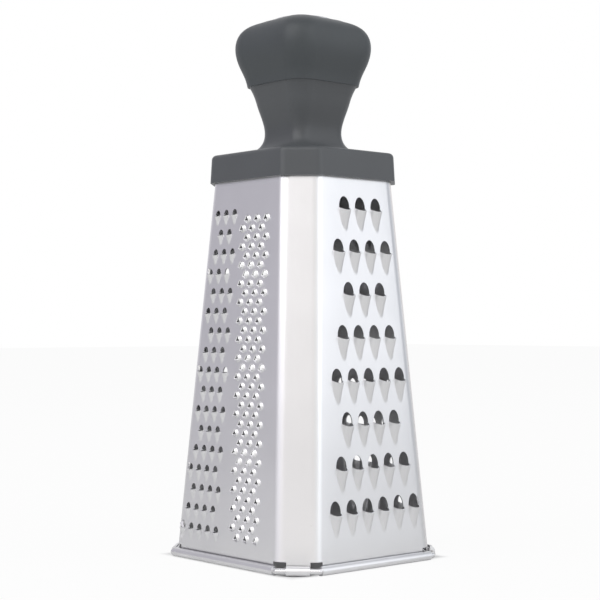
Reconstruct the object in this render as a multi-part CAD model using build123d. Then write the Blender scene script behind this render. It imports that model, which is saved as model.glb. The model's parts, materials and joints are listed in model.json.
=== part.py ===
from build123d import *
import math
import os

# Heights above the table
grater_height = 240.0
body_height = 166.0
panel_tuck = 8.0
collar_height = 12.5
neck_height = 30.8
grip_height = 29.0

# Steel body, over the sheet, at the table and under the collar
base_width = 93.3
base_depth = 88.4
top_width = 68.5
top_depth = 63.3
strip_base_width = 11.5
strip_top_width = 10.0
sheet = 0.5
bend_radius = 6.0
seam_gap = 0.15
lap_flange_width = 6.0

# Curled hem and the wire ring inside it
hem_radius = 2.0
hem_wall = 0.6
hem_facets = 14
wire_radius = 1.25
seat_flat = 0.12
hem_overrun = 2.4
knuckle_width = 10.0
corner_trim = 5.3

# Coarse teeth, on the +X side
coarse_row_counts = (3, 4, 3, 4, 5, 4, 5, 6)
coarse_pitch = 9.2
coarse_row_pitch = 18.4
coarse_first_row = 24.6
coarse_shift = 1.8
coarse_radius = 3.0
coarse_length = 10.0
coarse_wall = 0.5
coarse_hole_rise = 1.6
coarse_facets = 8
lip_lean = 24.0

# Fine teeth, on the left of the -Y side
fine_row_counts = (3, 2, 3, 3, 3, 3, 3, 3, 4, 3, 4, 3, 4, 4, 4, 4, 5)
fine_pitch = 5.9
fine_row_pitch = 8.65
fine_first_row = 13.4
fine_inset = 8.0
fine_radius = 1.6
fine_length = 4.6
fine_wall = 0.35
fine_hole_rise = 0.7
fine_facets = 4

# Star punches, on the right of the -Y side
star_rows = 35
star_columns = 3
star_pitch = 6.4
star_row_pitch = 4.02
star_first_row = 12.4
star_first_column = 6.5
star_lean_share = 0.0372
star_radius = 2.2
star_rise = 1.3
star_hole_radius = 0.9

# Medium teeth, on the +Y side
medium_row_counts = (3, 4, 3, 4, 5, 4, 5, 6)
medium_pitch = 8.0
medium_row_pitch = 17.6
medium_first_row = 22.0
medium_radius = 2.2
medium_length = 7.0
medium_wall = 0.45
medium_hole_rise = 1.0
medium_facets = 4

# Slicing slots, on the -X side
slicer_count = 3
slicer_pitch = 44.0
slicer_first_row = 38.0
slicer_width = 34.0
slicer_rise = 2.6
slicer_length = 9.0
slicer_slot_height = 5.5
slicer_wall = 0.5

# Collar over the top of the body
collar_overhang = 2.0
collar_draft = 0.7
collar_edge_radius = 2.2
collar_corner_radius = 4.0
panel_clearance = 0.2
boss_radius = 7.0

# Knob
knob_side = 49.4
knob_corner_share = 0.22
post_side = 22.0
post_height = 20.0
post_corner_radius = 3.0
fit_gap = 0.1

# Badge on the knob
badge_ring_radius = 13.7
badge_ring_width = 1.4
badge_ring_height = 1.8
badge_ring_bevel = 0.4
badge_disc_height = 2.8
badge_dome_rise = 1.4

# Plate, washer and screw that hold the handle
plate_thickness = 0.8
plate_flange = 6.0
washer_radius = 7.0
washer_thickness = 1.0
screw_radius = 2.4
screw_head_radius = 4.6
screw_head_height = 2.6
screw_grip = 9.0
screw_head_bevel = 0.8

half_turn = 180.0
quarter_turn = 90.0
root_two = math.sqrt(2)
bend_tangent = bend_radius * math.tan(math.pi / 8)
hem_height = hem_radius - seat_flat
hem_outset = hem_radius - sheet
panel_top = body_height + panel_tuck
collar_top = body_height + collar_height
grip_foot = collar_top + neck_height
grip_top = grip_foot + grip_height
badge_seat = grater_height - badge_disc_height

os.makedirs("parts", exist_ok=True)


def blend(low, high, z):
    """A size that runs evenly from the table to the underside of the collar."""
    return low + (high - low) * z / body_height


def half_width(z):
    return blend(base_width, top_width, z) / 2


def half_depth(z):
    return blend(base_depth, top_depth, z) / 2


def corner_leg(z):
    """How far the slanting corner strip cuts each face back, to the sharp corner."""
    return (blend(strip_base_width, strip_top_width, z) + 2 * bend_tangent) / root_two


def parallel(points, distance):
    """The open outline shifted to its left, with mitred corners."""
    corners = [Vector(*point) for point in points]
    lefts = []
    for start, end in zip(corners, corners[1:]):
        along = (end - start).normalized()
        lefts.append(Vector(-along.Y, along.X))
    shifted = [corners[0] + lefts[0] * distance]
    for corner, before, after in zip(corners[1:], lefts, lefts[1:]):
        both = before + after
        shifted.append(corner + both * (2 * distance / both.length**2))
    shifted.append(corners[-1] + lefts[-1] * distance)
    return shifted


def octagon_corners(half_x, half_y, leg):
    """The corners of a closed outline whose four corners are cut off slanting."""
    side_x = half_x - leg
    side_y = half_y - leg
    corners = [
        (half_x, -side_y), (half_x, side_y), (side_x, half_y), (-side_x, half_y),
        (-half_x, side_y), (-half_x, -side_y), (-side_x, -half_y), (side_x, -half_y),
    ]
    return [Vector(*corner) for corner in corners]


def octagon(half_x, half_y, leg, radius):
    """The same outline with each bend rounded."""
    return FilletPolyline(*octagon_corners(half_x, half_y, leg), radius=radius, close=True)


def panel_section(distance, side_distance, z):
    """One panel cut level at height z: outer strip, bend, face, bend, lap flange."""
    leg = corner_leg(z)
    run = side_distance - leg
    strip_step = (leg * root_two - bend_tangent - seam_gap) / root_two
    lap_step = (bend_tangent + lap_flange_width) / root_two
    lap_run = run - sheet * root_two
    outline = [
        (distance - strip_step, -run - strip_step),
        (distance, -run),
        (distance, lap_run),
        (distance - lap_step, lap_run + lap_step),
    ]
    outside = FilletPolyline(*outline, radius=bend_radius)
    inside = FilletPolyline(*parallel(outline, sheet), radius=bend_radius - sheet)
    ends = [Line(outside @ 0, inside @ 0), Line(outside @ 1, inside @ 1)]
    return Pos(0, 0, z) * make_face(outside.edges() + inside.edges() + ends)


def tail_section(distance, middle, half_length, z):
    """The flat tail of sheet between a panel and its curled edge, cut level at height z."""
    tail = Rectangle(sheet, 2 * half_length, align=(Align.MAX, Align.CENTER))
    return Pos(distance, middle, z) * tail


def hem_tube(length):
    """A length of curled edge, lying along Y at the origin."""
    outside = RegularPolygon(hem_radius, hem_facets, major_radius=False)
    bore = RegularPolygon(hem_radius - hem_wall, hem_facets, major_radius=False)
    return Rot(quarter_turn, 0, 0) * extrude(outside - bore, amount=length / 2, both=True)


def face_frame(base, top):
    """The leaning plane of a face, before the panel is turned to its side."""
    lean = math.atan((base - top) / 2 / body_height)
    outward = (math.cos(lean), 0, math.sin(lean))
    return Plane(origin=(base / 2, 0, 0), x_dir=(0, 1, 0), z_dir=outward)


def blank_panel(base, top, side_base, side_top):
    """A folded panel with its hem and its corner knuckle, its face towards +X."""
    def distance(z):
        return blend(base, top, z) / 2

    def side_distance(z):
        return blend(side_base, side_top, z) / 2

    levels = (corner_trim, panel_top)
    sections = [panel_section(distance(z), side_distance(z), z) for z in levels]
    shell = loft(sections, ruled=True)

    def strip_distance(z):
        return (distance(z) + side_distance(z) - corner_leg(z)) / root_two

    flat_half = side_distance(0) - corner_leg(0) - bend_tangent - sheet * root_two
    middle = (distance(0) - side_distance(0)) / root_two
    strip_turn = Rot(0, 0, -quarter_turn / 2)
    tails = (hem_height, corner_trim)
    apron = loft([tail_section(distance(z), 0, flat_half, z) for z in tails], ruled=True)
    tab = loft(
        [tail_section(strip_distance(z), middle, knuckle_width / 2, z) for z in tails], ruled=True
    )
    hem_length = 2 * (flat_half + hem_overrun)
    hem = Pos(distance(hem_height) + hem_outset, 0, hem_height) * hem_tube(hem_length)
    knuckle_place = Pos(strip_distance(hem_height) + hem_outset, middle, hem_height)
    knuckle = strip_turn * knuckle_place * hem_tube(knuckle_width)

    panel = shell + [apron, hem, strip_turn * tab, knuckle]
    below = Box(base, side_base, base, align=(Align.CENTER, Align.CENTER, Align.MAX))
    return panel - Pos(base / 2, 0, 0) * below


def lip_cutter(radius, length):
    """What lies above a tooth's leaning mouth."""
    size = 2 * length
    block = Box(size, size, size, align=(Align.CENTER, Align.MIN, Align.CENTER))
    return Rot(lip_lean, 0, 0) * block


def back_cutter(length):
    """What lies behind the middle of the sheet."""
    size = 4 * length
    block = Box(size, size, size, align=(Align.CENTER, Align.CENTER, Align.MAX))
    return Pos(0, 0, -sheet / 2) * block


def ring_of_facets(radius, facets):
    """A regular outline in the plane of a tooth's mouth, one flat facet outermost."""
    turn = half_turn / facets
    sketch = RegularPolygon(radius, facets, rotation=turn)
    mouth = Plane(origin=(0, 0, 0), x_dir=(1, 0, 0), z_dir=(0, -1, 0))
    return (mouth * sketch).face().outer_wire()


def scoop(radius, length, wall, hole_rise, facets):
    """A pressed half-cone tooth, mouth upwards, and the hole that runs up under it."""
    cone = Solid.make_loft([ring_of_facets(radius, facets), Vertex(0, -length, 0)], True)
    raised = cone - lip_cutter(radius, length) - back_cutter(length)
    bore = radius - wall
    tail = length * bore / radius
    ring = ring_of_facets(bore, facets)
    lower = Solid.make_loft([ring, Vertex(0, -tail, 0)], True)
    upper = Solid.make_loft([ring, Vertex(0, bore + hole_rise, 0)], True)
    return raised, lower + upper


def star_punch():
    """A three-sided raised point, torn open through its middle."""
    base = Pos(0, 0, -sheet / 2) * RegularPolygon(star_radius, 3)
    point = Solid.make_loft([base.face().outer_wire(), Vertex(0, 0, star_rise)], True)
    through = star_rise + sheet
    opening = extrude(RegularPolygon(star_hole_radius, 3), amount=through, both=True)
    return point, opening


def slicer():
    """A wide pressed blade with its slot above it."""
    def wedge(width, rise, length):
        half = width / 2
        slant = rise
        mouth = [(-half, 0, 0), (half, 0, 0), (half - slant, 0, rise), (slant - half, 0, rise)]
        tip = [(x, -length, z * sheet / rise) for x, _, z in mouth]
        return Solid.make_loft([Wire.make_polygon(mouth), Wire.make_polygon(tip)], True)

    raised = wedge(slicer_width, slicer_rise, slicer_length) - lip_cutter(slicer_rise, slicer_width)
    inner_length = slicer_length - 2 * slicer_wall
    hollow = wedge(slicer_width - 3 * slicer_wall, slicer_rise - slicer_wall, inner_length)
    slot_width = slicer_width - 3 * slicer_wall
    depth = 2 * slicer_rise
    slot = Pos(0, slicer_slot_height / 2, 0) * Box(slot_width, slicer_slot_height, depth)
    under = Pos(0, -inner_length / 4, -sheet / 2) * Box(slot_width, inner_length / 2, 2 * sheet)
    return raised, hollow + slot + under


def placed(frame, places, shape):
    """Copies of a tooth on a face, at places given across and up from the table."""
    return [frame * Pos(across, up, 0) * shape for across, up in places]


def centred_rows(counts, pitch, row_pitch, first_row, shift):
    """Staggered rows with the counts given from the top row down."""
    places = []
    for row, count in enumerate(reversed(counts)):
        up = first_row + row * row_pitch
        for column in range(count):
            places.append((shift + (column - (count - 1) / 2) * pitch, up))
    return places


def fine_rows():
    """Staggered rows that start beside the star punches and end at the left bend."""
    places = []
    for row, count in enumerate(reversed(fine_row_counts)):
        up = fine_first_row + row * fine_row_pitch
        start = fine_inset + (row % 2) * fine_pitch / 2
        for column in range(count):
            places.append((-start - column * fine_pitch, up))
    return places


def star_rows_and_columns():
    """Close staggered rows that follow the slant of the front corner."""
    places = []
    for row in range(star_rows):
        up = star_first_row + row * star_row_pitch
        start = star_first_column - star_lean_share * row * star_row_pitch
        start -= (row % 2) * star_pitch / 2
        for column in range(star_columns):
            places.append((start + column * star_pitch, up))
    return places


def coarse_panel():
    panel = blank_panel(base_width, top_width, base_depth, top_depth)
    frame = face_frame(base_width, top_width)
    places = centred_rows(
        coarse_row_counts, coarse_pitch, coarse_row_pitch, coarse_first_row, coarse_shift
    )
    raised, hole = scoop(
        coarse_radius, coarse_length, coarse_wall, coarse_hole_rise, coarse_facets
    )
    panel = panel + placed(frame, places, raised)
    return panel - placed(frame, places, hole)


def fine_panel():
    panel = blank_panel(base_depth, top_depth, base_width, top_width)
    frame = face_frame(base_depth, top_depth)
    tooth, tooth_hole = scoop(
        fine_radius, fine_length, fine_wall, fine_hole_rise, fine_facets
    )
    star, star_hole = star_punch()
    teeth = fine_rows()
    stars = star_rows_and_columns()
    panel = panel + (placed(frame, teeth, tooth) + placed(frame, stars, star))
    panel = panel - (placed(frame, teeth, tooth_hole) + placed(frame, stars, star_hole))
    return Rot(0, 0, -quarter_turn) * panel


def medium_panel():
    panel = blank_panel(base_depth, top_depth, base_width, top_width)
    frame = face_frame(base_depth, top_depth)
    places = centred_rows(
        medium_row_counts, medium_pitch, medium_row_pitch, medium_first_row, 0
    )
    raised, hole = scoop(
        medium_radius, medium_length, medium_wall, medium_hole_rise, medium_facets
    )
    panel = panel + placed(frame, places, raised)
    panel = panel - placed(frame, places, hole)
    return Rot(0, 0, quarter_turn) * panel


def slicing_panel():
    panel = blank_panel(base_width, top_width, base_depth, top_depth)
    frame = face_frame(base_width, top_width)
    places = [(0, slicer_first_row + row * slicer_pitch) for row in range(slicer_count)]
    raised, hole = slicer()
    panel = panel + placed(frame, places, raised)
    panel = panel - placed(frame, places, hole)
    return Rot(0, 0, half_turn) * panel


def rim_wire():
    """The ring of wire that the hems and knuckles are curled round."""
    leg = corner_leg(hem_height) + hem_outset * (2 - root_two)
    corners = octagon_corners(
        half_width(hem_height) + hem_outset, half_depth(hem_height) + hem_outset, leg
    )
    start = ((corners[0] + corners[-1]) / 2)
    path = Pos(0, 0, hem_height) * Polyline(start, *corners, start)
    section = Plane(origin=path @ 0, z_dir=path % 0) * Circle(wire_radius)
    return sweep(section, path=path, transition=Transition.RIGHT)


def inside_outline(z, gap):
    """The body's inner outline at height z, clear of the laps by a gap."""
    side = sheet + gap
    leg = corner_leg(z) - 2 * side + (2 * sheet + gap) * root_two
    face = make_face(octagon(half_width(z) - side, half_depth(z) - side, leg, bend_radius - sheet))
    return Pos(0, 0, z) * face


def top_plate():
    """The tray-shaped plate that closes the body and carries the handle."""
    top = panel_top - sheet
    foot = top - plate_flange
    tray = loft([inside_outline(foot, fit_gap), inside_outline(top, fit_gap)], ruled=True)
    wall = plate_thickness + fit_gap
    hollow = loft([inside_outline(foot, wall), inside_outline(top - plate_thickness, wall)], ruled=True)
    hole = Pos(0, 0, top) * Cylinder(screw_radius + fit_gap, 3 * plate_thickness)
    return tray - hollow - hole


def collar_outline(z, inset):
    """The collar's outline at height z, set back from its foot by an inset."""
    reach = collar_overhang - inset
    leg = corner_leg(body_height) + reach * (2 - root_two)
    half_x = half_width(body_height) + reach
    half_y = half_depth(body_height) + reach
    return Pos(0, 0, z) * make_face(octagon(half_x, half_y, leg, collar_corner_radius))


def sleeve_outline(z):
    """The pocket in the collar that the top of the body slips into."""
    leg = corner_leg(z) + panel_clearance * (2 - root_two)
    half_x = half_width(z) + panel_clearance
    half_y = half_depth(z) + panel_clearance
    return Pos(0, 0, z) * make_face(octagon(half_x, half_y, leg, bend_radius))


def rounded_square(side, z):
    return Pos(0, 0, z) * RectangleRounded(side, side, side * knob_corner_share)


# Neck and grip outlines: share of the height, then side as a share of the knob side
neck_shares = ((0.0, 0.90), (0.08, 0.70), (0.18, 0.60), (0.34, 0.565), (0.65, 0.65), (1.0, 0.79))
grip_shares = ((0.0, 0.82), (0.3, 0.93), (0.62, 1.0), (0.82, 0.93), (0.94, 0.76), (1.0, 0.585))


def knob_loft(shares, foot, height):
    sections = []
    for up_share, side_share in shares:
        sections.append(rounded_square(knob_side * side_share, foot + height * up_share))
    return loft(sections)


def handle_base():
    """Collar, neck and inner post, moulded as one."""
    collar = loft([collar_outline(body_height, 0), collar_outline(collar_top, collar_draft)], ruled=True)
    top_edges = collar.faces().sort_by(Axis.Z)[-1].edges()
    collar = fillet(top_edges, collar_edge_radius)
    pocket_top = panel_top + panel_clearance
    pocket = loft([sleeve_outline(body_height), sleeve_outline(pocket_top)], ruled=True)
    base = collar - pocket
    neck = knob_loft(neck_shares, collar_top, neck_height)
    post = Pos(0, 0, grip_foot) * extrude(
        RectangleRounded(post_side, post_side, post_corner_radius), amount=post_height
    )
    boss_height = pocket_top - (panel_top - sheet)
    boss = Pos(0, 0, pocket_top) * Cylinder(
        boss_radius, boss_height, align=(Align.CENTER, Align.CENTER, Align.MAX)
    )
    base = base + [neck, post, boss]
    bore_foot = panel_top - sheet
    bore = Pos(0, 0, bore_foot) * Cylinder(
        screw_radius, screw_grip, align=(Align.CENTER, Align.CENTER, Align.MIN)
    )
    return base - bore


def grip():
    """The soft upper shell that is slipped over the post."""
    shell = knob_loft(grip_shares, grip_foot, grip_height)
    socket_side = post_side + 2 * fit_gap
    socket = Pos(0, 0, grip_foot) * extrude(
        RectangleRounded(socket_side, socket_side, post_corner_radius + fit_gap),
        amount=post_height + fit_gap,
    )
    seat = Pos(0, 0, badge_seat) * Cylinder(
        badge_ring_radius, grater_height - badge_seat, align=(Align.CENTER, Align.CENTER, Align.MIN)
    )
    return shell - socket - seat


def badge_ring():
    """The bright ring round the badge."""
    inner = badge_ring_radius - badge_ring_width
    profile = Pos(inner, badge_seat) * Rectangle(
        badge_ring_width, badge_ring_height, align=(Align.MIN, Align.MIN)
    )
    profile = chamfer(profile.vertices().sort_by(Axis.Y)[-2:], badge_ring_bevel)
    return revolve(Plane.XZ * profile, Axis.Z)


def badge_disc():
    """The plain domed disc inside the ring."""
    radius = badge_ring_radius - badge_ring_width - fit_gap
    shoulder = grater_height - badge_dome_rise
    sphere_radius = (radius**2 + badge_dome_rise**2) / (2 * badge_dome_rise)
    centre = grater_height - sphere_radius
    half = radius / 2
    halfway = (half, centre + math.sqrt(sphere_radius**2 - half**2))
    profile = [
        Line((0, badge_seat), (radius, badge_seat)),
        Line((radius, badge_seat), (radius, shoulder)),
        ThreePointArc((radius, shoulder), halfway, (0, grater_height)),
        Line((0, grater_height), (0, badge_seat)),
    ]
    return revolve(Plane.XZ * make_face(profile), Axis.Z)


def washer():
    under = panel_top - sheet - plate_thickness
    ring = Cylinder(washer_radius, washer_thickness) - Cylinder(
        screw_radius + fit_gap, washer_thickness
    )
    return Pos(0, 0, under - washer_thickness / 2) * ring


def screw():
    """The pan-head screw that draws the handle down on to the plate."""
    seat = panel_top - sheet - plate_thickness - washer_thickness
    shank_length = screw_grip + plate_thickness + washer_thickness
    shank = Pos(0, 0, seat) * Cylinder(
        screw_radius, shank_length, align=(Align.CENTER, Align.CENTER, Align.MIN)
    )
    head = Pos(0, 0, seat) * Cylinder(
        screw_head_radius, screw_head_height, align=(Align.CENTER, Align.CENTER, Align.MAX)
    )
    head = chamfer(head.edges().sort_by(Axis.Z)[0], screw_head_bevel)
    return head + shank


nodes = {
    "coarse_panel": coarse_panel,
    "fine_panel": fine_panel,
    "medium_panel": medium_panel,
    "slicing_panel": slicing_panel,
    "rim_wire": rim_wire,
    "top_plate": top_plate,
    "handle_base": handle_base,
    "grip": grip,
    "badge_ring": badge_ring,
    "badge_disc": badge_disc,
    "handle_washer": washer,
    "handle_screw": screw,
}

for name, make in nodes.items():
    export_step(make(), f"parts/{name}.step")
    print(name)
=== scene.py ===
# %% [markdown]
# A box grater: four toothed steel sides on a wire rim, and a soft square knob on a plastic collar.
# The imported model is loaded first. It fixes every size, and each piece below is made to fit it.

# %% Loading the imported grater
import json
import math
import bmesh
import bpy
from mathutils import Matrix, Vector


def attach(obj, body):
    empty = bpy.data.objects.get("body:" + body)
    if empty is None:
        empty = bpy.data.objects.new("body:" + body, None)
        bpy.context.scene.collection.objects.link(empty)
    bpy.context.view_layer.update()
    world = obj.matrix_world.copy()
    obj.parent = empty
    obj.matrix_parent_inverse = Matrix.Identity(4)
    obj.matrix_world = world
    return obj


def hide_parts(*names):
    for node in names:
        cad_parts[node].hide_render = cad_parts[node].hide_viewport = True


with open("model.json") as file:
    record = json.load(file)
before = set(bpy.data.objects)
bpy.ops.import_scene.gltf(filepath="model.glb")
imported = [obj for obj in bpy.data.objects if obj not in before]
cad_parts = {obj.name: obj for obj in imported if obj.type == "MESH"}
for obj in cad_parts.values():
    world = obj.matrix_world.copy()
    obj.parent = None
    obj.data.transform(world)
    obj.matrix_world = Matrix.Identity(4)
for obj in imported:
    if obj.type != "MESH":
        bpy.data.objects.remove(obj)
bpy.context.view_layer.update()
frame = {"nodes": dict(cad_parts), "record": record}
scene = bpy.context.scene
scene.view_settings.view_transform = "Standard"
mm = 0.001

# %% [markdown]
# The photograph was taken level, from a little over half a metre, with the front corner towards the
# camera. The frame is shifted up a little, as when a picture is cropped, so upright edges stay upright.

# %% Camera
camera_place = Vector((494.4, -431.8, 101.7)) * mm
look_across = -0.7532
look_along = 0.6578
camera_turn = math.atan2(look_along, look_across) - math.pi / 2
camera_data = bpy.data.cameras.new("photo_camera")
camera_data.lens = 87.87
camera_data.sensor_width = 36.0
camera_data.shift_x = -0.005
camera_data.shift_y = 0.046
camera = bpy.data.objects.new("photo_camera", camera_data)
camera.location = camera_place
camera.rotation_euler = (math.pi / 2, 0, camera_turn)
scene.collection.objects.link(camera)
scene.camera = camera
print("lens", camera_data.lens, "turn", round(math.degrees(camera_turn), 2))

# %% [markdown]
# Satin steel shows the room more than its own colour. The world is a white studio that is brightest
# behind the camera and a little bluer on the right and a little redder on the left, which gives each
# side of the grater its own grey. Lamps alone would leave the steel nearly black, so the room carries
# the steel and the lamps carry the plastic. What the camera sees directly is plain white.

# %% Studio world
world = bpy.data.worlds.new("white_studio")
world.use_nodes = True
scene.world = world


def add_node(tree, kind, label, **values):
    """A node of a tree, with its settings and the values of its inputs."""
    node = tree.nodes.new(kind)
    node.label = label
    for name, value in values.items():
        if hasattr(node, name):
            setattr(node, name, value)
        else:
            node.inputs[name.replace("_", " ")].default_value = value
    return node


def ramp_stops(node, stops):
    """Colour stops of a ramp, as place and colour."""
    ramp = node.color_ramp
    while len(ramp.elements) > 1:
        ramp.elements.remove(ramp.elements[-1])
    for index, (place, colour) in enumerate(stops):
        stop = ramp.elements[0] if index == 0 else ramp.elements.new(place)
        stop.position = place
        stop.color = (*colour, 1)


def studio_world():
    tree = world.node_tree
    tree.nodes.clear()
    link = tree.links.new
    way = add_node(tree, "ShaderNodeTexCoord", "direction")
    round_room = add_node(tree, "ShaderNodeVectorMath", "along the view line", operation="DOT_PRODUCT")
    round_room.inputs[1].default_value = (-look_across, -look_along, 0)
    link(way.outputs["Generated"], round_room.inputs[0])
    halved = add_node(tree, "ShaderNodeMapRange", "front to back")
    halved.inputs["From Min"].default_value = -1
    link(round_room.outputs["Value"], halved.inputs["Value"])
    ramp = add_node(tree, "ShaderNodeValToRGB", "room brightness")
    ramp_stops(ramp, [
        (0.0, (0.9, 0.9, 0.9)), (0.3, (0.52, 0.52, 0.53)), (0.5, (0.5, 0.5, 0.51)),
        (0.62, (0.74, 0.73, 0.73)), (0.78, (1.0, 1.0, 1.0)), (1.0, (0.98, 0.95, 0.92)),
    ])
    link(halved.outputs["Result"], ramp.inputs["Fac"])
    across = add_node(tree, "ShaderNodeVectorMath", "across the view line", operation="DOT_PRODUCT")
    across.inputs[1].default_value = (look_along, -look_across, 0)
    link(way.outputs["Generated"], across.inputs[0])
    side = add_node(tree, "ShaderNodeMapRange", "left to right")
    side.inputs["From Min"].default_value = -1
    link(across.outputs["Value"], side.inputs["Value"])
    tint = add_node(tree, "ShaderNodeValToRGB", "room tint")
    ramp_stops(tint, [(0.0, (1.0, 0.97, 1.06)), (0.5, (1.0, 1.0, 1.0)), (1.0, (1.08, 1.13, 1.2))])
    link(side.outputs["Result"], tint.inputs["Fac"])
    tinted = add_node(tree, "ShaderNodeMix", "tinted room", data_type="RGBA", blend_type="MULTIPLY")
    tinted.inputs["Factor"].default_value = 1
    link(ramp.outputs["Color"], tinted.inputs["A"])
    link(tint.outputs["Color"], tinted.inputs["B"])
    ray = add_node(tree, "ShaderNodeLightPath", "kind of ray")
    room = add_node(tree, "ShaderNodeBackground", "room that metal shows")
    link(tinted.outputs["Result"], room.inputs["Color"])
    plain = add_node(tree, "ShaderNodeBackground", "plain soft light", Color=(1, 1, 1, 1), Strength=0.55)
    white = add_node(tree, "ShaderNodeBackground", "white background", Color=(1, 1, 1, 1), Strength=1.0)
    lit = add_node(tree, "ShaderNodeMixShader", "light or reflection")
    seen = add_node(tree, "ShaderNodeMixShader", "seen or not")
    shown = add_node(tree, "ShaderNodeMath", "glossy or transmitted", operation="MAXIMUM")
    link(ray.outputs["Is Glossy Ray"], shown.inputs[0])
    link(ray.outputs["Is Transmission Ray"], shown.inputs[1])
    link(shown.outputs["Value"], lit.inputs["Fac"])
    link(plain.outputs[0], lit.inputs[1])
    link(room.outputs[0], lit.inputs[2])
    link(ray.outputs["Is Camera Ray"], seen.inputs["Fac"])
    link(lit.outputs[0], seen.inputs[1])
    link(white.outputs[0], seen.inputs[2])
    output = add_node(tree, "ShaderNodeOutputWorld", "world")
    link(seen.outputs[0], output.inputs["Surface"])


studio_world()

# %% [markdown]
# Two large soft lamps light the plastic: one high on the left of the camera and a weaker one on the
# right. Their size keeps their mirror images in the steel no brighter than the room.

# %% Lamps
lamp_aim = Vector((0, 0, 0.12))
lamp_size = 1.8


def soft_lamp(name, place, watts):
    data = bpy.data.lights.new(name, "AREA")
    data.size = lamp_size
    data.energy = watts
    lamp = bpy.data.objects.new(name, data)
    lamp.location = place
    aim = lamp_aim - Vector(place)
    lamp.rotation_euler = aim.to_track_quat("-Z", "Y").to_euler()
    scene.collection.objects.link(lamp)


soft_lamp("lamp_left", (0.1, -1.3, 1.2), 11.0)
soft_lamp("lamp_right", (1.3, 0.6, 0.9), 6.0)

# %% [markdown]
# The floor is white, and most of what the camera sees of it is plain white with a faint shadow. Only
# the square inside the grater stays in its own shade, or it would shine through the teeth.

# %% Floor
plain_white_share = 0.93
floor_size = 12
floor_drop = 0.0003
shade_reach = (0.042, 0.047)


def floor_material():
    material = bpy.data.materials.new("white_floor")
    material.use_nodes = True
    tree = material.node_tree
    tree.nodes.clear()
    matt = add_node(tree, "ShaderNodeBsdfDiffuse", "matt white", Color=(0.9, 0.9, 0.9, 1))
    glow = add_node(tree, "ShaderNodeEmission", "white background", Color=(1, 1, 1, 1), Strength=1.0)
    ray = add_node(tree, "ShaderNodeLightPath", "kind of ray")
    share = add_node(tree, "ShaderNodeMath", "share of plain white", operation="MULTIPLY")
    share.inputs[1].default_value = plain_white_share
    mix = add_node(tree, "ShaderNodeMixShader", "shadow under white")
    output = add_node(tree, "ShaderNodeOutputMaterial", "floor")
    place = add_node(tree, "ShaderNodeTexCoord", "place on the floor")
    square = add_node(tree, "ShaderNodeVectorMath", "distance from the middle", operation="ABSOLUTE")
    sides = add_node(tree, "ShaderNodeSeparateXYZ", "distance each way")
    further = add_node(tree, "ShaderNodeMath", "further way", operation="MAXIMUM")
    outside = add_node(tree, "ShaderNodeMapRange", "outside the grater")
    outside.inputs["From Min"].default_value = shade_reach[0]
    outside.inputs["From Max"].default_value = shade_reach[1]
    shown = add_node(tree, "ShaderNodeMath", "white where the camera sees open floor", operation="MULTIPLY")
    tree.links.new(place.outputs["Object"], square.inputs[0])
    tree.links.new(square.outputs[0], sides.inputs[0])
    tree.links.new(sides.outputs["X"], further.inputs[0])
    tree.links.new(sides.outputs["Y"], further.inputs[1])
    tree.links.new(further.outputs[0], outside.inputs["Value"])
    tree.links.new(ray.outputs["Is Camera Ray"], shown.inputs[0])
    tree.links.new(outside.outputs["Result"], shown.inputs[1])
    tree.links.new(shown.outputs[0], share.inputs[0])
    tree.links.new(share.outputs[0], mix.inputs["Fac"])
    tree.links.new(matt.outputs[0], mix.inputs[1])
    tree.links.new(glow.outputs[0], mix.inputs[2])
    tree.links.new(mix.outputs[0], output.inputs["Surface"])
    return material


bpy.ops.object.select_all(action="DESELECT")
bpy.ops.mesh.primitive_plane_add(size=floor_size, location=(0, 0, -floor_drop))
floor = bpy.context.object
floor.name = "floor"
bpy.ops.object.transform_apply(location=True, rotation=True, scale=True)
floor.data.materials.append(floor_material())
print("floor", floor_size, "metres across")

# %% [markdown]
# The steel has fine rolling marks and the mouldings have a fine even grain. Both are the same noise,
# stretched or not, so one node group with a scale and a length makes them for every finish.

# %% Grain group
def new_group(name, inputs, outputs):
    group = bpy.data.node_groups.new(name, "ShaderNodeTree")
    for label, kind, value in inputs:
        socket = group.interface.new_socket(label, in_out="INPUT", socket_type=kind)
        socket.default_value = value
    for label, kind in outputs:
        group.interface.new_socket(label, in_out="OUTPUT", socket_type=kind)
    return group, group.nodes.new("NodeGroupInput"), group.nodes.new("NodeGroupOutput")


def rolled_grain_group():
    """Long fine marks of rolled sheet, as a value and as a height."""
    group, given, result = new_group(
        "rolled_grain",
        [("Scale", "NodeSocketFloat", 900.0), ("Length", "NodeSocketFloat", 0.04)],
        [("Grain", "NodeSocketFloat"), ("Cloud", "NodeSocketFloat")],
    )
    link = group.links.new
    place = add_node(group, "ShaderNodeTexCoord", "place on the grater")
    stretch = add_node(group, "ShaderNodeCombineXYZ", "stretched upwards", X=1.0, Y=1.0)
    link(given.outputs["Length"], stretch.inputs["Z"])
    long_marks = add_node(group, "ShaderNodeVectorMath", "long marks", operation="MULTIPLY")
    link(place.outputs["Object"], long_marks.inputs[0])
    link(stretch.outputs[0], long_marks.inputs[1])
    fine = add_node(group, "ShaderNodeTexNoise", "fine marks", Detail=3.0)
    link(long_marks.outputs[0], fine.inputs["Vector"])
    link(given.outputs["Scale"], fine.inputs["Scale"])
    cloud = add_node(group, "ShaderNodeTexNoise", "soft clouds", Scale=28.0, Detail=2.0)
    link(place.outputs["Object"], cloud.inputs["Vector"])
    link(fine.outputs["Fac"], result.inputs["Grain"])
    link(cloud.outputs["Fac"], result.inputs["Cloud"])
    return group


rolled_grain = rolled_grain_group()
print("grain group with", len(rolled_grain.nodes), "nodes")

# %% [markdown]
# One recipe serves all finishes: a colour that soft clouds vary a little, a roughness that the grain
# varies, and a shallow bump from the grain. The numbers for each finish are its colour, metal,
# roughness, grain scale, grain length, unevenness, bump and, for the dome alone, a clear coat.

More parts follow.
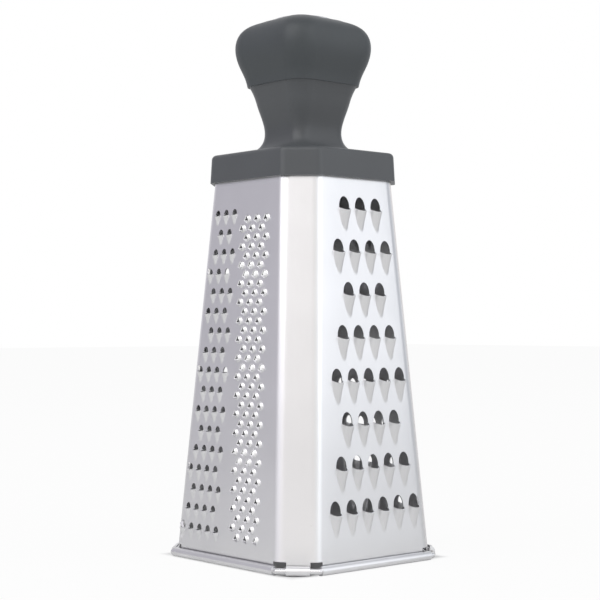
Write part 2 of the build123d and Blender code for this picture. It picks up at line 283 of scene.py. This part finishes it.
# %% Finishes
roughness_swing = 0.15
grain_depth = 0.0002


def finish_material(name, colour, metallic, roughness, scale, length, vary, bump, coat=0.0):
    material = bpy.data.materials.new(name)
    material.use_nodes = True
    tree = material.node_tree
    link = tree.links.new
    shader = tree.nodes["Principled BSDF"]
    shader.inputs["Metallic"].default_value = metallic
    shader.inputs["Coat Weight"].default_value = coat
    grain = tree.nodes.new("ShaderNodeGroup")
    grain.node_tree = rolled_grain
    grain.inputs["Scale"].default_value = scale
    grain.inputs["Length"].default_value = length
    tone = add_node(tree, "ShaderNodeValToRGB", "slightly uneven colour")
    dark = [part * (1 - vary) for part in colour]
    light = [min(1.0, part * (1 + vary)) for part in colour]
    ramp_stops(tone, [(0.3, dark), (0.7, light)])
    link(grain.outputs["Cloud"], tone.inputs["Fac"])
    link(tone.outputs["Color"], shader.inputs["Base Color"])
    rough = add_node(tree, "ShaderNodeMapRange", "uneven roughness")
    rough.inputs["To Min"].default_value = roughness * (1 - roughness_swing)
    rough.inputs["To Max"].default_value = roughness * (1 + roughness_swing)
    link(grain.outputs["Grain"], rough.inputs["Value"])
    link(rough.outputs["Result"], shader.inputs["Roughness"])
    relief = add_node(tree, "ShaderNodeBump", "grain relief", Strength=bump, Distance=grain_depth)
    link(grain.outputs["Grain"], relief.inputs["Height"])
    link(relief.outputs["Normal"], shader.inputs["Normal"])
    return material


satin_sheet = finish_material("satin_sheet", (0.8, 0.8, 0.81), 1.0, 0.3, 1400.0, 0.03, 0.03, 0.12)
drawn_wire = finish_material("drawn_wire", (0.74, 0.74, 0.75), 1.0, 0.25, 1500.0, 1.0, 0.04, 0.05)
hard_plastic = finish_material("hard_plastic", (0.082, 0.088, 0.095), 0.0, 0.36, 2600.0, 1.0, 0.04, 0.1)
soft_rubber = finish_material("soft_rubber", (0.055, 0.063, 0.069), 0.0, 0.45, 3000.0, 1.0, 0.05, 0.15)
bright_plate = finish_material("bright_plate", (0.86, 0.86, 0.87), 1.0, 0.08, 900.0, 1.0, 0.01, 0.02)
gloss_black = finish_material("gloss_black", (0.01, 0.01, 0.011), 0.0, 0.08, 900.0, 1.0, 0.05, 0.02, 1.0)
plain_steel = finish_material("plain_steel", (0.7, 0.7, 0.71), 1.0, 0.35, 1200.0, 1.0, 0.03, 0.05)

finish_of_slot = {
    "steel_sheet": satin_sheet,
    "steel_wire": drawn_wire,
    "hard_plastic": hard_plastic,
    "soft_grip": soft_rubber,
    "bright_ring": bright_plate,
    "gloss_disc": gloss_black,
    "fastener": plain_steel,
}
for subpart in frame["record"]["subparts"]:
    node = frame["nodes"][subpart["node"]]
    node.data.materials.clear()
    node.data.materials.append(finish_of_slot[subpart["material_slot"]])
print(len(finish_of_slot), "finishes on", len(frame["nodes"]), "nodes")

# %% [markdown]
# Every new piece starts as a circle of points, which is a ring. The ring is set on an outline, then
# extruded again and again, and each new ring is set on the next outline, much like raising a pot.
# A fine grid pushed up by a formula would be shorter to write, but it leaves ragged tooth mouths.

# %% Raising a piece ring by ring
spots_in_a_metre = 1e7


def edit_mesh():
    return bmesh.from_edit_mesh(bpy.context.object.data)


def spot(point):
    """A point rounded to a tenth of a micrometre, to find it again."""
    return tuple(round(part * spots_in_a_metre) for part in point)


def choose(*pieces):
    """Selects these pieces alone, and makes the first of them the active one."""
    bpy.ops.object.select_all(action="DESELECT")
    for piece in pieces:
        piece.select_set(True)
    bpy.context.view_layer.objects.active = pieces[0]


def raise_rings(name, rings):
    """A mesh through rings of equally many points, the last of which is marked as a seam."""
    bpy.ops.object.select_all(action="DESELECT")
    bpy.ops.mesh.primitive_circle_add(vertices=len(rings[0]), radius=1)
    piece = bpy.context.object
    piece.name = name
    for vertex, point in zip(piece.data.vertices, rings[0]):
        vertex.co = point
    bpy.ops.object.mode_set(mode="EDIT")
    bpy.ops.mesh.select_all(action="SELECT")
    for before, after in zip(rings, rings[1:]):
        bpy.ops.mesh.extrude_region_move()
        mesh = edit_mesh()
        index_at = {spot(point): index for index, point in enumerate(before)}
        for vertex in mesh.verts:
            if vertex.select:
                vertex.co = after[index_at[spot(vertex.co)]]
        bmesh.update_edit_mesh(piece.data)
    bpy.ops.mesh.mark_seam()
    bpy.ops.object.mode_set(mode="OBJECT")
    return piece


def copies(piece, places):
    """Copies of a piece at places, each with its own mesh. The piece itself is used up."""
    made = []
    for place in places:
        choose(piece)
        bpy.ops.object.duplicate()
        copy = bpy.context.object
        copy.location = place
        made.append(copy)
    bpy.data.objects.remove(piece)
    return made


# %% [markdown]
# A tooth is pressed out of the sheet: a mouth with a rounded top, a lip that arches up and leans
# down, and a tail that dies into the sheet. The first ring is the torn edge of the mouth. Each next
# ring lies further out and lower, and the last ones lie flat in the sheet.

# %% Teeth
tail_narrowing_share = 0.25
tail_roll = 1.15
flat_rim = 0.35


def tooth_rings(radius, length, mouth_rise, lip_drop, margin, points, levels):
    """Rings of a pressed tooth in the plane of the sheet, in metres, mouth upwards."""
    rings = []
    for level in range(levels + 1):
        share = level / levels
        ring = []
        for index in range(points):
            angle = 2 * math.pi * index / points
            across = math.cos(angle)
            along = math.sin(angle)
            if along >= 0:
                reach = margin * share
                u = (radius + reach) * across
                v = (mouth_rise + reach) * along
                w = 0
            else:
                depth = -along
                u = (radius * (1 - tail_narrowing_share * share * depth) + margin * share) * across
                v = -depth * (lip_drop * (1 - share) + (length + margin) * share)
                w = radius * depth * (1 - share) ** tail_roll
            ring.append((u * mm, v * mm, w * mm))
        rings.append(ring)
    spread = 1 + flat_rim / radius
    rings.append([(u * spread, v * spread, 0) for u, v, w in rings[-1]])
    return rings


coarse_rings = tooth_rings(
    radius=3.0, length=9.6, mouth_rise=4.9, lip_drop=1.4, margin=0.25, points=32, levels=7
)
fine_rings = tooth_rings(
    radius=1.6, length=4.6, mouth_rise=2.3, lip_drop=0.7, margin=0.12, points=20, levels=5
)
medium_rings = tooth_rings(
    radius=2.2, length=6.8, mouth_rise=3.4, lip_drop=1.0, margin=0.2, points=24, levels=6
)
for kind, rings in (("coarse", coarse_rings), ("fine", fine_rings), ("medium", medium_rings)):
    print(kind, "tooth of", len(rings), "rings")

# %% [markdown]
# A star punch is a burst: a point pushed out from the inside until it tears open in three rays. Its
# rings start at the torn edge, where the rays stand out most, and end flat and a little squashed.

# %% Star punches
star_points = 12
star_rays = 3
star_squash = 0.86

# A ring's reach, how far its rays stand out, and its height, in millimetres
star_steps = (
    (1.25, 0.38, 1.0), (1.42, 0.28, 0.8), (1.72, 0.14, 0.32),
    (1.98, 0.04, 0.05), (2.12, 0.0, 0.0), (2.2, 0.0, 0.0),
)


def star_rings():
    """Rings of a star punch in the plane of the sheet, in metres."""
    rings = []
    for reach, ray, height in star_steps:
        squash = 1.0 if ray else star_squash
        ring = []
        for index in range(star_points):
            turn = 2 * math.pi * (index / star_points)
            angle = turn + math.pi / 2
            out = reach + ray * math.cos(star_rays * (angle - math.pi / 2))
            ring.append((out * math.cos(angle) * mm, out * squash * math.sin(angle) * mm, height * mm))
        rings.append(ring)
    return rings


# %% [markdown]
# Each side of the grater is one folded sheet, cut by a 45 degree strip at each corner. These are the
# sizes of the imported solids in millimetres: each pair is a size at the table and under the collar.

# %% Sizes of the body
body_height = 166.0
panel_top = 174.0
strip_foot = 5.3
bend_radius = 6.0
bend_tangent = bend_radius * math.tan(math.pi / 8)
sheet = 0.5
seam_gap = 0.15
lap_width = 6.0
hem_height = 1.88
curl_radius = 1.5
widths = (93.3, 68.5)
depths = (88.4, 63.3)
strip_widths = (11.5, 10.0)


def tapered(sizes, z):
    return sizes[0] + (sizes[1] - sizes[0]) * z / body_height


def corner_leg(z):
    """How far the corner strip cuts a side back, to the sharp corner."""
    return (tapered(strip_widths, z) + 2 * bend_tangent) / math.sqrt(2)


def left_of_flat(side_reach, z):
    return -(tapered(side_reach, z) / 2 - corner_leg(z) - bend_tangent)


def right_of_flat(side_reach, z):
    return tapered(side_reach, z) / 2 - corner_leg(z) - sheet * math.sqrt(2) - bend_tangent


def strip_flat(z):
    """The flat width of the corner strip, from the end of the bend to its free edge."""
    return corner_leg(z) * math.sqrt(2) - 2 * bend_tangent - seam_gap


def lap_flat(z):
    return lap_width


def lean_of(reach):
    return math.atan((reach[0] - reach[1]) / 2 / body_height)


print("lean of the wide and the deep sides", [round(math.degrees(lean_of(r)), 2) for r in (widths, depths)])

# %% [markdown]
# The flat of a side is filled between its outline and the rims of all its teeth in one go, because
# flat sheet needs no even mesh. The rims and the outline carry the seam marks that raise_rings left.

# %% Flat sheet with its teeth
flat_rows = 24
flat_columns = 12


def flat_outline(reach, side_reach):
    """The outline of the flat part of a side, in the plane of the sheet, anticlockwise."""
    step = (panel_top - strip_foot) / flat_rows
    heights = [strip_foot + step * row for row in range(flat_rows + 1)]
    foot = heights[0]
    head = heights[-1]
    outline = []
    for column in range(flat_columns):
        start = left_of_flat(side_reach, foot)
        end = right_of_flat(side_reach, foot)
        outline.append((start + (end - start) * column / flat_columns, foot))
    outline += [(right_of_flat(side_reach, z), z) for z in heights[:-1]]
    for column in range(flat_columns):
        start = right_of_flat(side_reach, head)
        end = left_of_flat(side_reach, head)
        outline.append((start + (end - start) * column / flat_columns, head))
    outline += [(left_of_flat(side_reach, z), z) for z in reversed(heights[1:])]
    slope = math.cos(lean_of(reach))
    return [(u * mm, z / slope * mm, 0) for u, z in outline]


def sheet_with_teeth(name, outline, tooth_sets):
    """The flat sheet with its teeth, lying in the plane of the sheet."""
    piece = raise_rings(name, [outline])
    parts = [piece]
    for rings, places in tooth_sets:
        parts += copies(raise_rings("tooth", rings), [(u * mm, v * mm, 0) for u, v in places])
    choose(*parts)
    bpy.ops.object.join()
    bpy.ops.object.mode_set(mode="EDIT")
    bpy.ops.mesh.select_mode(type="EDGE")
    bpy.ops.mesh.select_all(action="DESELECT")
    mesh = edit_mesh()
    for edge in mesh.edges:
        edge.select = edge.seam
    mesh.select_flush_mode()
    bmesh.update_edit_mesh(piece.data)
    bpy.ops.mesh.fill(use_beauty=True)
    bpy.ops.mesh.select_all(action="SELECT")
    bpy.ops.mesh.mark_seam(clear=True)
    bpy.ops.object.mode_set(mode="OBJECT")
    return piece


def stand_up(piece, reach):
    """Leans the flat sheet against its place on the +X side and turns its faces outwards."""
    lean = lean_of(reach)
    outward = Vector((math.cos(lean), 0, math.sin(lean)))
    up = Vector((-math.sin(lean), 0, math.cos(lean)))
    place = Matrix.Translation((reach[0] / 2 * mm, 0, 0)) @ Matrix((
        (0, up.x, outward.x, 0), (1, up.y, outward.y, 0), (0, up.z, outward.z, 0), (0, 0, 0, 1),
    ))
    piece.data.transform(place)
    bpy.ops.object.mode_set(mode="EDIT")
    bpy.ops.mesh.select_all(action="SELECT")
    bpy.ops.mesh.normals_make_consistent(inside=False)
    if sum(face.normal.x * face.calc_area() for face in edit_mesh().faces) < 0:
        bpy.ops.mesh.flip_normals()


# %% [markdown]
# An edge of the sheet is found by its place, then extruded step by step. Each step says where a
# point goes from where it started, so a bend and a curl are both short formulas. Spin would turn the
# whole edge about one axis, but these bends lean with the sheet, so each point needs its own.

# %% Drawing out an edge
near = 0.02
bend_parts = 6
curl_parts = 15
curl_part_turn = math.radians(20)
curl_drop = 1.4


def select_edges(test):
    """Selects the open edges whose two ends pass a test, and nothing else, and counts them."""
    bpy.ops.mesh.select_all(action="DESELECT")
    bpy.ops.mesh.select_mode(type="EDGE")
    mesh = edit_mesh()
    chosen = 0
    for edge in mesh.edges:
        if edge.is_boundary and all(test(vertex.co / mm) for vertex in edge.verts):
            edge.select = True
            chosen += 1
    mesh.select_flush_mode()
    bmesh.update_edit_mesh(bpy.context.object.data)
    return chosen


def draw_out(steps):
    """Extrudes the selected edge once for each step and moves its points by that step."""
    start = {}
    for step in steps:
        bpy.ops.mesh.extrude_region_move()
        mesh = edit_mesh()
        after = {}
        for vertex in mesh.verts:
            if vertex.select:
                first = start.get(spot(vertex.co), tuple(vertex.co / mm))
                vertex.co = Vector(step(*first)) * mm
                after[spot(vertex.co)] = first
        start = after
        bmesh.update_edit_mesh(bpy.context.object.data)


def bend_steps(side, flat_shares, flat_width):
    """Steps round a 45 degree bend and along the flat after it; side is -1 or 1 along Y."""
    full = math.pi / 4
    stops = [(full * part / bend_parts, 0) for part in range(1, bend_parts + 1)]
    stops += [(full, share) for share in flat_shares]

    def step_to(turn, share):
        def step(x, y, z):
            flat = flat_width(z) * share / math.sqrt(2)
            back = bend_radius * (1 - math.cos(turn)) + flat
            return x - back, y + side * (bend_radius * math.sin(turn) + flat), z

        return step

    return [step_to(turn, share) for turn, share in stops]


def curl_steps(outward, spread_share):
    """Steps that take a lower edge down, curl it outwards round the wire and widen it."""
    side = Vector((-outward.y, outward.x, 0))

    def down(x, y, z):
        return x, y, hem_height + curl_drop

    def step_to(part):
        turn = curl_part_turn * part
        wider = spread_share * min(1, part / 3)

        def step(x, y, z):
            out = curl_radius * (1 - math.cos(turn))
            along = Vector((x, y, 0)).dot(side)
            shift = side * along * wider + outward * out
            return x + shift.x, y + shift.y, hem_height - curl_radius * math.sin(turn)

        return step

    return [down] + [step_to(part) for part in range(curl_parts)]


# %% [markdown]
# The left edge goes round its bend into the corner strip, and the right edge round its own into the
# flange that the next strip covers. The lower edge becomes the hem, and the middle of the strip's
# lower edge becomes the corner knuckle. The strip has a narrow column at each edge, beside that tab.

# %% Folding the edges
strip_shares = (0.06, 0.3, 0.6, 0.94, 1.0)
lap_shares = (0.5, 1.0)
tab_start_share = strip_shares[0]
tab_width_share = 0.88
hem_spread_share = 0.085


def fold_sides(side_reach):
    left = select_edges(lambda p: abs(p.y - left_of_flat(side_reach, p.z)) < near)
    draw_out(bend_steps(-1, strip_shares, strip_flat))
    right = select_edges(lambda p: abs(p.y - right_of_flat(side_reach, p.z)) < near)
    draw_out(bend_steps(1, lap_shares, lap_flat))
    return left, right


def curl_hem(reach):
    foot = reach[0] / 2 - strip_foot * math.tan(lean_of(reach))
    found = select_edges(lambda p: abs(p.z - strip_foot) < near and abs(p.x - foot) < near)
    draw_out(curl_steps(Vector((1, 0, 0)), hem_spread_share))
    return found


def curl_knuckle(reach, side_reach):
    slant = Vector((1, -1, 0)).normalized()
    along = Vector((-1, -1, 0)).normalized()
    corner = Vector((
        tapered(reach, strip_foot) / 2, corner_leg(strip_foot) - tapered(side_reach, strip_foot) / 2, 0
    ))
    begin = corner + along * (bend_tangent + tab_start_share * strip_flat(strip_foot) - near)
    span = tab_width_share * strip_flat(strip_foot)

    def in_tab(p):
        away = Vector((p.x, p.y, 0)) - begin
        on_strip = abs(p.z - strip_foot) < near and abs(away.dot(slant)) < near
        return on_strip and -3 * near < away.dot(along) < span + 3 * near

    found = select_edges(in_tab)
    draw_out(curl_steps(slant, 0.0))
    return found


# %% [markdown]
# Last, the sheet gets its wall inwards, so that the outer faces stay where they were drawn, and what
# the wall pushed below the table is pressed flat, as on the real hems.

# %% The three toothed sides
smooth_angle = math.radians(35)


def give_wall(piece):
    wall = piece.modifiers.new("wall", "SOLIDIFY")
    wall.thickness = sheet * mm
    wall.offset = -1
    choose(piece)
    bpy.ops.object.modifier_apply(modifier=wall.name)
    for vertex in piece.data.vertices:
        vertex.co.z = max(vertex.co.z, 0)


def folded_side(name, node, reach, side_reach, tooth_sets, quarter_turns):
    """One side of the grater, modelled facing +X and then turned to its own side."""
    piece = sheet_with_teeth(name, flat_outline(reach, side_reach), tooth_sets)
    stand_up(piece, reach)
    found = [*fold_sides(side_reach), curl_hem(reach), curl_knuckle(reach, side_reach)]
    bpy.ops.object.mode_set(mode="OBJECT")
    give_wall(piece)
    piece.data.transform(Matrix.Rotation(quarter_turns * math.pi / 2, 4, "Z"))
    bpy.ops.object.shade_smooth_by_angle(angle=smooth_angle)
    piece.data.materials.clear()
    piece.data.materials.append(satin_sheet)
    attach(piece, "root")
    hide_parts(node)
    print(name, "edges found", found, "faces", len(piece.data.polygons))


# %% [markdown]
# The teeth stand in staggered rows. On the two sides that the photograph shows, the counts in each
# row are its own. The medium teeth are on a hidden side, and repeat the counts of the coarse ones.

# %% Rows of teeth
coarse_counts = (3, 4, 3, 4, 5, 4, 5, 6)
fine_counts = (3, 2, 3, 3, 3, 3, 3, 3, 4, 3, 4, 3, 4, 4, 4, 4, 5)
fine_pitch = 5.9
fine_row_pitch = 8.65
fine_first_row = 13.4
fine_inset = 8.0
star_rows = 35
star_columns = 3
star_pitch = 6.4
star_row_pitch = 4.02
star_first_row = 12.4
star_first_column = 6.5
star_lean_share = 0.0372


def staggered(counts, pitch, row_pitch, first_row, shift):
    """Centred rows with the counts given from the top row down."""
    places = []
    for row, count in enumerate(reversed(counts)):
        for column in range(count):
            places.append((shift + (column - (count - 1) / 2) * pitch, first_row + row * row_pitch))
    return places


def fine_rows():
    """Rows that start beside the star punches and run to the left."""
    places = []
    for row, count in enumerate(reversed(fine_counts)):
        start = fine_inset + (row % 2) * fine_pitch / 2
        for column in range(count):
            places.append((-start - column * fine_pitch, fine_first_row + row * fine_row_pitch))
    return places


def star_field():
    """Close staggered rows that follow the slant of the front corner."""
    places = []
    for row in range(star_rows):
        rise = row * star_row_pitch
        start = star_first_column - star_lean_share * rise - (row % 2) * star_pitch / 2
        for column in range(star_columns):
            places.append((start + column * star_pitch, star_first_row + rise))
    return places


coarse_teeth = [(coarse_rings, staggered(coarse_counts, 9.2, 18.4, 24.6, 1.8))]
medium_teeth = [(medium_rings, staggered(coarse_counts, 8.0, 17.6, 22.0, 0))]
fine_teeth = [(fine_rings, fine_rows()), (star_rings(), star_field())]

# %% Making the sides
folded_side("coarse_side", "coarse_panel", widths, depths, coarse_teeth, 0)
folded_side("fine_side", "fine_panel", depths, widths, fine_teeth, -1)
folded_side("medium_side", "medium_panel", depths, widths, medium_teeth, 1)
